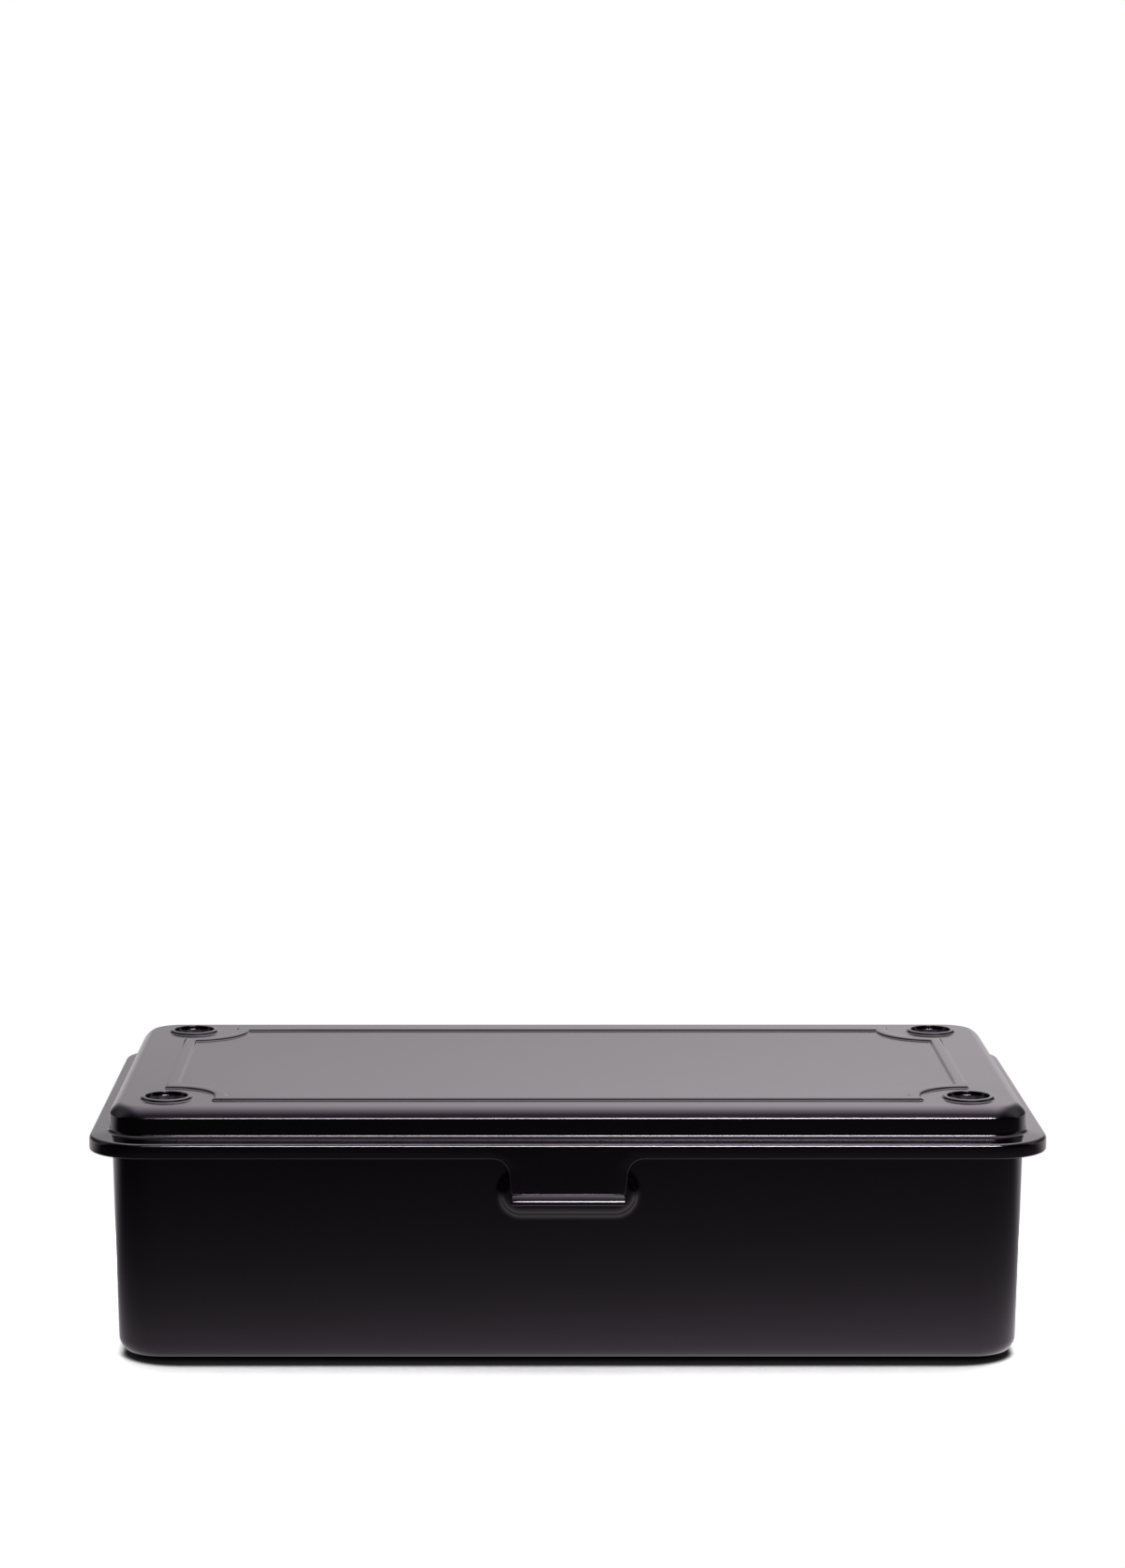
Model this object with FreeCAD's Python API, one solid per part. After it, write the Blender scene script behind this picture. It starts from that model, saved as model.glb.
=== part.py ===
import FreeCAD, Part
import math
import os

# Pressed-steel box with a hinged lid and a sprung front tongue.
# Millimetres, X right, Y back, Z up. The origin is on the table, under the middle of the box.

Vector = FreeCAD.Vector

# Overall sizes
LID_WIDTH = 204.0
LID_DEPTH = 109.0
PANEL_Z = 55.5
SHEET = 0.6

# Lid pressing
SKIRT_CORNER = 12.5
PLATEAU_INSET = 4.3
PLATEAU_CORNER = 8.5
PLATEAU_EDGE = 3.5
SHELF_DROP = 6.4
SKIRT_DROP = 10.0
SKIRT_EDGE = 1.0
SHELF_FILLET = 1.0

# Raised border on the lid panel, notched round the stacking cups
BORDER_X = 85.6
BORDER_Y = 40.3
NOTCH_RADIUS = 11.6
BORDER_HEIGHT = 0.45
BORDER_HALF_CREST = 1.15
BORDER_HALF_BASE = 1.5

# Stacking cups in the lid and the feet that sit in them
CUP_X = 85.74
CUP_Y = 38.74
CUP_OUTER = 6.0
CUP_CREST_OUTER = 5.0
CUP_CREST_INNER = 4.55
CUP_CREST_HEIGHT = 0.6
CUP_DEPTH = 2.74
FOOT_OUTER = 3.9
FOOT_FLAT = 2.6
FOOT_HEIGHT = 0.7

# Body tray
BODY_HALF_X = 97.3
BODY_HALF_Y = 50.3
BODY_CORNER = 10.0
BODY_DRAFT_DEG = 1.2
BODY_BOTTOM_EDGE = 3.5
FLANGE_GAP = 0.1
LIP_GAP = 0.4
LIP_CORNER = 1.2
LIP_DROP = 2.0
MOUTH_EDGE = 1.1
FLANGE_BEND = 0.8

# Flat pad pressed down in the middle of the base, level with the feet
PAD_HALF_X = 70.0
PAD_HALF_Y = 26.0
PAD_CORNER = 10.0
PAD_SLOPE = 0.9

# Boss pressed out of the front of the body, behind the tongue
BOSS_HALF_X = 14.8
BOSS_Z_LOW = 32.3
BOSS_Z_HIGH = 42.3
BOSS_CORNER = 4.9
BOSS_HEIGHT = 1.6
BOSS_SLOPE = 1.2
BOSS_FACE_EDGE = 2.2
BOSS_FOOT_EDGE = 1.6
BOSS_SHEET_INSET = 0.3

# Front tongue, its hemmed lip and its catch
TONGUE_TOP_Z = 47.6
TONGUE_GAP = 0.1
TONGUE_ROOT_HALF = 16.2
TONGUE_HALF = 12.5
TONGUE_FILLET = 3.5
LIP_FOLD_Z = 38.62
LIP_FOLD_RADIUS = 0.1
LIP_TOP_RADIUS = 17.2
LIP_CROWN_RADIUS = 2.75
LIP_NOSE_RADIUS = 1.9
LIP_HEM_RADIUS = 0.75
LIP_TOP_TILT_DEG = 37.0
LIP_CROWN_TILT_DEG = 41.0
LIP_NOSE_TILT_DEG = 56.0
LIP_HEM_TILT_DEG = 75.0
LIP_HALF = 12.1
CATCH_HALF = 8.0
CATCH_Z = 43.3
CATCH_RADIUS = 0.7
KEEPER_HALF = 9.5
KEEPER_DROP = 2.1

# Rear hinges
HINGE_X = 58.0
HINGE_HALF = 16.0
KNUCKLE_HALF = 8.0
KNUCKLE_GAP = 0.2
HINGE_DROP = 12.1
PIN_RADIUS = 0.9
PIN_CLEARANCE = 0.05
PIN_FIT = 0.02
PIN_END = 0.6
LEAF_SHEET = 0.7
LEAF_LOW_Z = 31.0
LEAF_CORNER = 2.5
WALL_CLEARANCE = 0.3
LID_OPEN_DEG = 110.0
STOP_HALF = 6.0
STOP_GAP = 0.3
RIVET_X = 9.5
RIVET_Z = 35.2
RIVET_SHANK = 1.2
RIVET_HOLE = 1.25
RIVET_HEAD = 2.3
RIVET_HEAD_HEIGHT = 1.0
RIVET_TAIL = 2.0
RIVET_TAIL_HEIGHT = 0.6

# Heights and half sizes that follow from those
SKIRT_HALF_X = LID_WIDTH / 2
SKIRT_HALF_Y = LID_DEPTH / 2
PLATEAU_HALF_X = SKIRT_HALF_X - PLATEAU_INSET
PLATEAU_HALF_Y = SKIRT_HALF_Y - PLATEAU_INSET
SHELF_Z = PANEL_Z - SHELF_DROP
SKIRT_Z = PANEL_Z - SKIRT_DROP
FLANGE_Z = SHELF_Z - SHEET - FLANGE_GAP
LIP_HALF_X = SKIRT_HALF_X - SHEET - LIP_GAP
LIP_HALF_Y = SKIRT_HALF_Y - SHEET - LIP_GAP
LIP_RADIUS = SKIRT_CORNER - SHEET - LIP_GAP
LIP_Z = FLANGE_Z - LIP_DROP
DRAFT = math.tan(math.radians(BODY_DRAFT_DEG))
KNUCKLE_RADIUS = PIN_RADIUS + LEAF_SHEET
PIN_Z = PANEL_Z - HINGE_DROP
PIN_Y = BODY_HALF_Y - DRAFT * (FLANGE_Z - PIN_Z) + WALL_CLEARANCE + KNUCKLE_RADIUS
BOSS_Z = (BOSS_Z_LOW + BOSS_Z_HIGH) / 2
FAR = 20.0


def polygon_wire(points):
    """Closed wire through the points, with straight sides."""
    return Part.makePolygon(list(points) + [points[0]])


def rounded_rectangle(half_x, half_y, radius, z):
    """Closed wire of a rounded rectangle at height z, centred on the Z axis."""
    edges = []
    corners = [(1, -1, -90), (1, 1, 0), (-1, 1, 90), (-1, -1, 180)]
    arcs = []
    for sign_x, sign_y, start in corners:
        centre = Vector(sign_x * (half_x - radius), sign_y * (half_y - radius), z)
        points = []
        for turn in (0, 45, 90):
            angle = math.radians(start + turn)
            points.append(centre + Vector(math.cos(angle), math.sin(angle), 0) * radius)
        arcs.append(points)
    for index, points in enumerate(arcs):
        following = arcs[(index + 1) % 4][0]
        edges.append(Part.Arc(*points).toShape())
        edges.append(Part.makeLine(points[2], following))
    return Part.Wire(edges)


def block(half_x, half_y, radius, z_low, z_high):
    """Upright solid with a rounded-rectangle plan."""
    face = Part.Face(rounded_rectangle(half_x, half_y, radius, z_low))
    return face.extrude(Vector(0, 0, z_high - z_low))


def edges_at(shape, z):
    """Edges that lie at height z all along."""
    found = []
    for edge in shape.Edges:
        if all(abs(point.z - z) < 1e-4 for point in edge.discretize(5)):
            found.append(edge)
    return found


def edges_inside(edges, half_x, half_y):
    """Those of the edges that stay within a rectangle about the Z axis."""
    found = []
    for edge in edges:
        points = edge.discretize(5)
        if all(abs(p.x) < half_x and abs(p.y) < half_y for p in points):
            found.append(edge)
    return found


def revolved(profile, x, y, z):
    """Solid turned from a closed (radius, height) outline about an upright axis at x, y, z."""
    face = Part.Face(profile)
    face.translate(Vector(x, y, z))
    return face.revolve(Vector(x, y, z), Vector(0, 0, 1), 360)


def cup_places():
    """Plan centres of the four stacking cups."""
    return [(sx * CUP_X, sy * CUP_Y) for sx in (-1, 1) for sy in (-1, 1)]


def wall_y(z):
    """Half depth of the drafted body wall at height z."""
    return BODY_HALF_Y - DRAFT * (FLANGE_Z - z)


def tapered_tray(shrink, z_low, z_high, edge_radius):
    """Drafted body form, shrunk inwards, with its bottom edge rounded."""
    low_inset = DRAFT * (FLANGE_Z - z_low) + shrink
    high_inset = DRAFT * (FLANGE_Z - z_high) + shrink
    radius = BODY_CORNER - shrink
    low = rounded_rectangle(BODY_HALF_X - low_inset, BODY_HALF_Y - low_inset, radius, z_low)
    high = rounded_rectangle(BODY_HALF_X - high_inset, BODY_HALF_Y - high_inset, radius, z_high)
    solid = Part.makeLoft([low, high], True, True)
    return solid.makeFillet(edge_radius, edges_at(solid, z_low))


def base_pad(lift):
    """Pad pressed down from the base, lifted by the sheet for its inner side."""
    low = rounded_rectangle(PAD_HALF_X, PAD_HALF_Y, PAD_CORNER, lift)
    high = rounded_rectangle(PAD_HALF_X + PAD_SLOPE, PAD_HALF_Y + PAD_SLOPE, PAD_CORNER + PAD_SLOPE,
                             FOOT_HEIGHT + lift)
    return Part.makeLoft([low, high], True, True)


def boss_outline(inset, height):
    """Rounded rectangle facing the front, at a height above the wall."""
    wire = rounded_rectangle(BOSS_HALF_X - inset, (BOSS_Z_HIGH - BOSS_Z_LOW) / 2 - inset,
                             BOSS_CORNER - inset, 0)
    wire.rotate(Vector(0, 0, 0), Vector(1, 0, 0), 90)
    wire.translate(Vector(0, -height, 0))
    return wire


def boss_form(shrink):
    """Boss square to the front wall with a rounded face edge, shrunk by the sheet for its inner side."""
    inset = BOSS_SHEET_INSET if shrink else 0
    top = BOSS_HEIGHT - shrink
    foot_wire = boss_outline(inset, -shrink)
    frustum = Part.makeLoft([foot_wire, boss_outline(inset + BOSS_SLOPE, top)], True, True)
    face_edges = []
    for edge in frustum.Edges:
        if all(abs(point.y + top) < 1e-4 for point in edge.discretize(5)):
            face_edges.append(edge)
    frustum = frustum.makeFillet(BOSS_FACE_EDGE - shrink, face_edges)
    form = frustum.fuse(Part.Face(foot_wire).extrude(Vector(0, 3 * SHEET, 0)))
    form.rotate(Vector(0, 0, 0), Vector(1, 0, 0), BODY_DRAFT_DEG)
    form.translate(Vector(0, -wall_y(BOSS_Z), BOSS_Z))
    return form


def boss_foot(shape, shrink):
    """Edges where the boss meets the front wall."""
    reach_x = BOSS_HALF_X + SHEET
    reach_z = BOSS_Z_HIGH - BOSS_Z + SHEET
    found = []
    for edge in shape.Edges:
        points = edge.discretize(5)
        on_wall = all(abs(p.y + wall_y(p.z) - shrink) < 0.01 for p in points)
        beside = all(abs(p.x) < reach_x and abs(p.z - BOSS_Z) < reach_z for p in points)
        if on_wall and beside:
            found.append(edge)
    return found


def with_boss(tray, shrink):
    """The tray form with the boss on its front and a soft foot round it."""
    form = tray.fuse(boss_form(shrink)).removeSplitter()
    return form.makeFillet(BOSS_FOOT_EDGE + shrink, boss_foot(form, shrink))


def foot():
    """Pressed foot under the base: a shallow flat-bottomed dimple of even sheet."""
    points = [
        Vector(0, 0, 0),
        Vector(FOOT_FLAT, 0, 0),
        Vector(FOOT_OUTER, 0, FOOT_HEIGHT),
        Vector(FOOT_OUTER, 0, FOOT_HEIGHT + SHEET),
        Vector(FOOT_FLAT - SHEET / 2, 0, SHEET),
        Vector(0, 0, SHEET),
    ]
    return polygon_wire(points)


def rivet_places(side):
    """Plan X of the two rivets of one hinge."""
    return [side * HINGE_X - RIVET_X, side * HINGE_X + RIVET_X]


def on_rear_wall(shape, x):
    """Turn and move a shape made along +Y about the origin, so that it stands square on the rear wall."""
    shape.rotate(Vector(0, 0, 0), Vector(1, 0, 0), -BODY_DRAFT_DEG)
    shape.translate(Vector(x, wall_y(RIVET_Z), RIVET_Z))
    return shape


def bored(shape, x):
    """The shape with a rivet hole through the rear wall."""
    tool = Part.makeCylinder(RIVET_HOLE, FAR, Vector(0, -FAR / 2, 0), Vector(0, 1, 0))
    return shape.cut(on_rear_wall(tool, x))


def body_tray():
    """Deep-drawn tray with an outward rim, a turned-down lip, a front boss, a base pad and four feet."""
    outer = with_boss(tapered_tray(0, FOOT_HEIGHT, FLANGE_Z, BODY_BOTTOM_EDGE), 0)
    flange = block(LIP_HALF_X, LIP_HALF_Y, LIP_RADIUS, FLANGE_Z - SHEET, FLANGE_Z)
    outer = outer.fuse(flange).removeSplitter()
    bend = edges_inside(edges_at(outer, FLANGE_Z - SHEET), BODY_HALF_X + 1, BODY_HALF_Y + 1)
    outer = outer.makeFillet(FLANGE_BEND, bend)
    lip = block(LIP_HALF_X, LIP_HALF_Y, LIP_RADIUS, LIP_Z, FLANGE_Z)
    lip_inner = block(LIP_HALF_X - SHEET, LIP_HALF_Y - SHEET, LIP_RADIUS - SHEET, LIP_Z, FLANGE_Z)
    outer = outer.fuse(lip.cut(lip_inner)).removeSplitter()
    outer = outer.makeFillet(LIP_CORNER, edges_at(outer, FLANGE_Z))

    inner = with_boss(tapered_tray(SHEET, FOOT_HEIGHT + SHEET, FLANGE_Z, BODY_BOTTOM_EDGE - SHEET), SHEET)
    tray = outer.fuse(base_pad(0)).cut(inner).cut(base_pad(SHEET))
    mouth = edges_inside(edges_at(tray, FLANGE_Z), BODY_HALF_X, BODY_HALF_Y)
    tray = tray.makeFillet(MOUTH_EDGE, mouth)

    keeper = Part.makeBox(2 * KEEPER_HALF, SHEET, KEEPER_DROP + SHEET,
                          Vector(-KEEPER_HALF, -LIP_HALF_Y, LIP_Z - KEEPER_DROP))
    tray = tray.fuse(keeper)
    for x, y in cup_places():
        tray = tray.cut(Part.makeCylinder(FOOT_OUTER, 3 * SHEET, Vector(x, y, FOOT_HEIGHT - SHEET)))
        tray = tray.fuse(revolved(foot(), x, y, 0))
    for side in (-1, 1):
        for x in rivet_places(side):
            tray = bored(tray, x)
    return tray.removeSplitter()


def notched_rectangle(spread, z):
    """Border outline, spread outwards from its centre line, with a notch round each cup."""
    half_x = BORDER_X + spread
    half_y = BORDER_Y + spread
    radius = NOTCH_RADIUS - spread
    reach_x = CUP_X - math.sqrt(radius ** 2 - (half_y - CUP_Y) ** 2)
    reach_y = CUP_Y - math.sqrt(radius ** 2 - (half_x - CUP_X) ** 2)
    inward = radius / math.sqrt(2)
    edges = []
    last = Vector(-reach_x, -half_y, z)
    for sign_x, sign_y in ((1, -1), (1, 1), (-1, 1), (-1, -1)):
        on_long = Vector(sign_x * reach_x, sign_y * half_y, z)
        on_short = Vector(sign_x * half_x, sign_y * reach_y, z)
        middle = Vector(sign_x * (CUP_X - inward), sign_y * (CUP_Y - inward), z)
        first, second = (on_long, on_short) if sign_x * sign_y < 0 else (on_short, on_long)
        edges.append(Part.makeLine(last, first))
        edges.append(Part.Arc(first, middle, second).toShape())
        last = second
    return Part.Wire(edges)


def border_ridge():
    """Raised border with sloping sides, standing on the lid panel."""
    top = PANEL_Z + BORDER_HEIGHT
    outer = Part.makeLoft([notched_rectangle(BORDER_HALF_BASE, PANEL_Z),
                           notched_rectangle(BORDER_HALF_CREST, top)], True, True)
    inner = Part.makeLoft([notched_rectangle(-BORDER_HALF_BASE, PANEL_Z),
                           notched_rectangle(-BORDER_HALF_CREST, top)], True, True)
    return outer.cut(inner)


def stacking_cup():
    """Closed outline of a cup's sheet: a raised ring round a deep round bowl."""
    bowl_height = CUP_DEPTH + CUP_CREST_HEIGHT
    bowl_radius = (CUP_CREST_INNER ** 2 + bowl_height ** 2) / (2 * bowl_height)
    centre_z = bowl_radius - CUP_DEPTH

    def on_bowl(radius, angle):
        return Vector(radius * math.sin(angle), 0, centre_z - radius * math.cos(angle))

    crest_angle = math.acos((centre_z - CUP_CREST_HEIGHT) / bowl_radius)
    under_radius = bowl_radius + SHEET
    under_angle = math.acos((centre_z + SHEET) / under_radius)
    foot_of_ring = Vector(CUP_OUTER, 0, 0)
    foot_under = Vector(CUP_OUTER, 0, -SHEET)
    crest_outer = Vector(CUP_CREST_OUTER, 0, CUP_CREST_HEIGHT)
    bowl = [on_bowl(bowl_radius, crest_angle * share) for share in (1, 0.5, 0)]
    under = [on_bowl(under_radius, under_angle * share) for share in (0, 0.5, 1)]
    edges = [
        Part.makeLine(foot_of_ring, crest_outer),
        Part.makeLine(crest_outer, bowl[0]),
        Part.Arc(*bowl).toShape(),
        Part.makeLine(bowl[2], under[0]),
        Part.Arc(*under).toShape(),
        Part.makeLine(under[2], foot_under),
        Part.makeLine(foot_under, foot_of_ring),
    ]
    return Part.Wire(edges)


def lid_form(shrink):
    """Filled form of the lid pressing, shrunk by the sheet for its inner side."""
    shelf = SHELF_Z - shrink
    plateau = block(PLATEAU_HALF_X - shrink, PLATEAU_HALF_Y - shrink, PLATEAU_CORNER - shrink,
                    SKIRT_Z, PANEL_Z - shrink)
    plateau = plateau.makeFillet(PLATEAU_EDGE - shrink, edges_at(plateau, PANEL_Z - shrink))
    skirt = block(SKIRT_HALF_X - shrink, SKIRT_HALF_Y - shrink, SKIRT_CORNER - shrink, SKIRT_Z, shelf)
    skirt = skirt.makeFillet(SKIRT_EDGE - shrink, edges_at(skirt, shelf))
    form = plateau.fuse(skirt).removeSplitter()
    bend = edges_inside(edges_at(form, shelf), PLATEAU_HALF_X + SHEET, PLATEAU_HALF_Y + SHEET)
    return form.makeFillet(SHELF_FILLET + shrink, bend)


def knuckle(x_low, x_high, bore):
    """Rolled eye round the hinge pin."""
    base = Vector(x_low, PIN_Y, PIN_Z)
    outer = Part.makeCylinder(KNUCKLE_RADIUS, x_high - x_low, base, Vector(1, 0, 0))
    inner = Part.makeCylinder(bore, x_high - x_low, base, Vector(1, 0, 0))
    return outer.cut(inner)


def lid_tab(side):
    """Tab of the rear skirt that slopes in and rolls round the pin."""
    x_low = side * HINGE_X - KNUCKLE_HALF
    edge = Vector(x_low, SKIRT_HALF_Y, SKIRT_Z)
    to_pin = Vector(x_low, PIN_Y, PIN_Z) - edge
    slope = math.atan2(to_pin.z, to_pin.y) + math.asin(KNUCKLE_RADIUS / to_pin.Length)
    along = Vector(0, math.cos(slope), math.sin(slope))
    across = Vector(0, math.sin(slope), -math.cos(slope)) * SHEET
    reach = math.sqrt(to_pin.Length ** 2 - KNUCKLE_RADIUS ** 2)
    corners = [edge, edge + along * reach, edge + along * reach + across, edge + across]
    strip = Part.Face(polygon_wire(corners)).extrude(Vector(2 * KNUCKLE_HALF, 0, 0))
    root = Part.makeBox(2 * KNUCKLE_HALF, SHEET, SHEET, Vector(x_low, SKIRT_HALF_Y - SHEET, SKIRT_Z))
    bore = Part.makeCylinder(PIN_RADIUS + PIN_CLEARANCE, 2 * KNUCKLE_HALF,
                             Vector(x_low, PIN_Y, PIN_Z), Vector(1, 0, 0))
    eye = knuckle(x_low, x_low + 2 * KNUCKLE_HALF, PIN_RADIUS + PIN_CLEARANCE)
    return strip.cut(bore).fuse(root).fuse(eye)


def lid_shell():
    """Pressed lid: plateau, shelf, skirt, raised border, stacking cups and two rear hinge tabs."""
    below = Vector(0, 0, -SHEET)
    ridge = border_ridge()
    groove = ridge.copy()
    groove.translate(below)
    lid = lid_form(0).cut(lid_form(SHEET))
    lid = lid.fuse(ridge).cut(groove)
    for x, y in cup_places():
        lid = lid.cut(Part.makeCylinder(CUP_OUTER, 3 * SHEET, Vector(x, y, PANEL_Z - 2 * SHEET)))
        lid = lid.fuse(revolved(stacking_cup(), x, y, PANEL_Z))
    slot_half = TONGUE_ROOT_HALF + TONGUE_GAP
    slot_top = TONGUE_TOP_Z + TONGUE_GAP
    slot = Part.makeBox(2 * slot_half, 3 * SHEET, slot_top - SKIRT_Z + SHEET,
                        Vector(-slot_half, -SKIRT_HALF_Y - SHEET, SKIRT_Z - SHEET))
    lid = lid.cut(slot)
    for side in (-1, 1):
        lid = lid.fuse(lid_tab(side))
    return lid.removeSplitter()


def lip_section():
    """Closed outline of the tongue's end: a fold outwards, a crowned face with a nose and a hem under it."""
    front = -SKIRT_HALF_Y
    back = front + SHEET

    def turn(point, from_deg, to_deg, radius):
        """Points half way and at the end of an arc whose surface tilts from one angle to another."""
        reached = []
        for tilt in ((from_deg + to_deg) / 2, to_deg):
            a, b = math.radians(from_deg), math.radians(tilt)
            step = Vector(0, math.sin(a) - math.sin(b), math.cos(b) - math.cos(a)) * radius
            reached.append(point + step)
        return reached

    blade_top = Vector(-LIP_HALF, front, LIP_FOLD_Z + SHEET)
    last = Vector(-LIP_HALF, front, LIP_FOLD_Z)
    edges = [Part.makeLine(blade_top, last)]
    tilt = 90
    for next_tilt, radius in (
        (LIP_TOP_TILT_DEG, -LIP_FOLD_RADIUS),
        (LIP_CROWN_TILT_DEG, LIP_TOP_RADIUS),
        (LIP_NOSE_TILT_DEG, LIP_CROWN_RADIUS),
        (LIP_HEM_TILT_DEG, LIP_NOSE_RADIUS),
        (LIP_HEM_TILT_DEG + 180, LIP_HEM_RADIUS),
    ):
        middle, end = turn(last, tilt, next_tilt, radius)
        edges.append(Part.Arc(last, middle, end).toShape())
        last = end
        tilt = next_tilt
    rise = (back - last.y) * math.tan(math.radians(LIP_HEM_TILT_DEG))
    behind = Vector(-LIP_HALF, back, last.z + rise)
    behind_top = Vector(-LIP_HALF, back, blade_top.z)
    edges.append(Part.makeLine(last, behind))
    edges.append(Part.makeLine(behind, behind_top))
    edges.append(Part.makeLine(behind_top, blade_top))
    return Part.Face(Part.Wire(edges))


def latch_tongue():
    """Sprung tongue in the plane of the front skirt, with a hemmed lip and a catch bead behind."""
    front = -SKIRT_HALF_Y
    fillet_end = SKIRT_Z - TONGUE_FILLET
    fillet_start = TONGUE_HALF + TONGUE_FILLET
    bulge = TONGUE_FILLET * (1 - math.sqrt(0.5))
    edges = []

    def at(x, z):
        return Vector(x, front, z)

    right = [
        at(TONGUE_ROOT_HALF, TONGUE_TOP_Z),
        at(TONGUE_ROOT_HALF, SKIRT_Z),
        at(fillet_start, SKIRT_Z),
        at(TONGUE_HALF + bulge, SKIRT_Z - bulge),
        at(TONGUE_HALF, fillet_end),
        at(LIP_HALF, LIP_FOLD_Z),
    ]
    left = [at(-p.x, p.z) for p in right]
    for chain in (right, left):
        edges.append(Part.makeLine(chain[0], chain[1]))
        edges.append(Part.makeLine(chain[1], chain[2]))
        edges.append(Part.Arc(chain[2], chain[3], chain[4]).toShape())
        edges.append(Part.makeLine(chain[4], chain[5]))
    edges.append(Part.makeLine(right[0], left[0]))
    edges.append(Part.makeLine(right[5], left[5]))
    blade = Part.Face(Part.Wire(Part.__sortEdges__(edges))).extrude(Vector(0, SHEET, 0))
    lip = lip_section().extrude(Vector(2 * LIP_HALF, 0, 0))

    bead = Part.makeCylinder(CATCH_RADIUS, 2 * CATCH_HALF,
                             Vector(-CATCH_HALF, front + SHEET, CATCH_Z), Vector(1, 0, 0))
    ahead = Part.makeBox(FAR, FAR, FAR, Vector(-FAR / 2, front + SHEET / 2 - FAR, CATCH_Z - FAR / 2))
    return blade.fuse(lip).fuse(bead.cut(ahead)).removeSplitter()


def stop_height():
    """Height of the stop: just under the rear skirt when the lid stands fully open."""
    lowest = PIN_Z
    for point in ((SKIRT_HALF_Y, SKIRT_Z), (SKIRT_HALF_Y, SHELF_Z - SKIRT_EDGE)):
        reach = math.hypot(point[0] - PIN_Y, point[1] - PIN_Z)
        angle = math.atan2(point[1] - PIN_Z, point[0] - PIN_Y) - math.radians(LID_OPEN_DEG)
        lowest = min(lowest, PIN_Z + reach * math.sin(angle))
    return lowest - STOP_GAP


def body_hinge_leaf(side):
    """Riveted leaf with two eyes for the pin and a bent-out stop for the open lid."""
    x_low = side * HINGE_X - HINGE_HALF
    x_high = side * HINGE_X + HINGE_HALF
    middle = side * HINGE_X
    plate_top = stop_height()

    def plate(x_from, x_to, z_low, z_high):
        corners = [Vector(x_from, wall_y(z_low), z_low),
                   Vector(x_from, wall_y(z_low) + LEAF_SHEET, z_low),
                   Vector(x_from, wall_y(z_high) + LEAF_SHEET, z_high),
                   Vector(x_from, wall_y(z_high), z_high)]
        return Part.Face(polygon_wire(corners)).extrude(Vector(x_to - x_from, 0, 0))

    leaf = plate(x_low, x_high, LEAF_LOW_Z, plate_top)
    low_corners = []
    for edge in leaf.Edges:
        points = edge.discretize(3)
        if all(p.z < LEAF_LOW_Z + 0.1 for p in points) and abs(points[0].x - points[-1].x) < 1e-4:
            low_corners.append(edge)
    leaf = leaf.makeFillet(LEAF_CORNER, low_corners)
    inner_gap = KNUCKLE_HALF + KNUCKLE_GAP
    for x_from, x_to in ((x_low, middle - inner_gap), (middle + inner_gap, x_high)):
        arm = plate(x_from, x_to, plate_top - LEAF_SHEET, PIN_Z)
        bore = Part.makeCylinder(PIN_RADIUS + PIN_FIT, x_to - x_from,
                                 Vector(x_from, PIN_Y, PIN_Z), Vector(1, 0, 0))
        leaf = leaf.fuse(arm.cut(bore)).fuse(knuckle(x_from, x_to, PIN_RADIUS + PIN_FIT))
    stop = Part.makeBox(2 * STOP_HALF, SKIRT_HALF_Y - wall_y(plate_top), LEAF_SHEET,
                        Vector(middle - STOP_HALF, wall_y(plate_top), plate_top - LEAF_SHEET))
    leaf = leaf.fuse(stop)
    for x in rivet_places(side):
        leaf = bored(leaf, x)
    return leaf.removeSplitter()


def hinge_pin(side):
    """Plain steel pin through the eyes of one hinge, standing a little proud at each end."""
    length = 2 * (HINGE_HALF + PIN_END)
    pin = Part.makeCylinder(PIN_RADIUS, length, Vector(side * HINGE_X - length / 2, PIN_Y, PIN_Z),
                            Vector(1, 0, 0))
    ends = [edge for edge in pin.Edges if edge.Closed]
    return pin.makeChamfer(PIN_RADIUS / 4, ends)


def rivet(x):
    """Round-headed rivet from outside the rear wall, with a flat tail inside."""
    back = Vector(0, 1, 0)
    tail_y = -SHEET - RIVET_TAIL_HEIGHT
    dome_radius = (RIVET_HEAD ** 2 + RIVET_HEAD_HEIGHT ** 2) / (2 * RIVET_HEAD_HEIGHT)
    ball = Part.makeSphere(dome_radius, Vector(0, LEAF_SHEET + RIVET_HEAD_HEIGHT - dome_radius, 0))
    head = ball.common(Part.makeCylinder(RIVET_HEAD, FAR, Vector(0, LEAF_SHEET, 0), back))
    shank = Part.makeCylinder(RIVET_SHANK, LEAF_SHEET - tail_y, Vector(0, tail_y, 0), back)
    tail = Part.makeCylinder(RIVET_TAIL, RIVET_TAIL_HEIGHT, Vector(0, tail_y, 0), back)
    return on_rear_wall(head.fuse(shank).fuse(tail).removeSplitter(), x)


def save(name, shape):
    """One file per piece, named after it."""
    solids = shape.Solids
    kept = solids[0] if len(solids) == 1 else Part.makeCompound(solids)
    kept.exportStep("parts/" + name + ".step")
    print(name, "solids", len(solids), "valid", shape.isValid(), "volume", round(kept.Volume, 1))


os.makedirs("parts", exist_ok=True)
save("body_tray", body_tray())
save("lid_shell", lid_shell())
save("latch_tongue", latch_tongue())
for label, side in (("left", -1), ("right", 1)):
    save("hinge_leaf_" + label, body_hinge_leaf(side))
    save("hinge_pin_" + label, hinge_pin(side))
    save("hinge_rivets_" + label, Part.makeCompound([rivet(x) for x in rivet_places(side)]))
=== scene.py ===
import math

import bmesh
import bpy
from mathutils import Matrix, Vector
from mathutils.geometry import delaunay_2d_cdt


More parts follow.
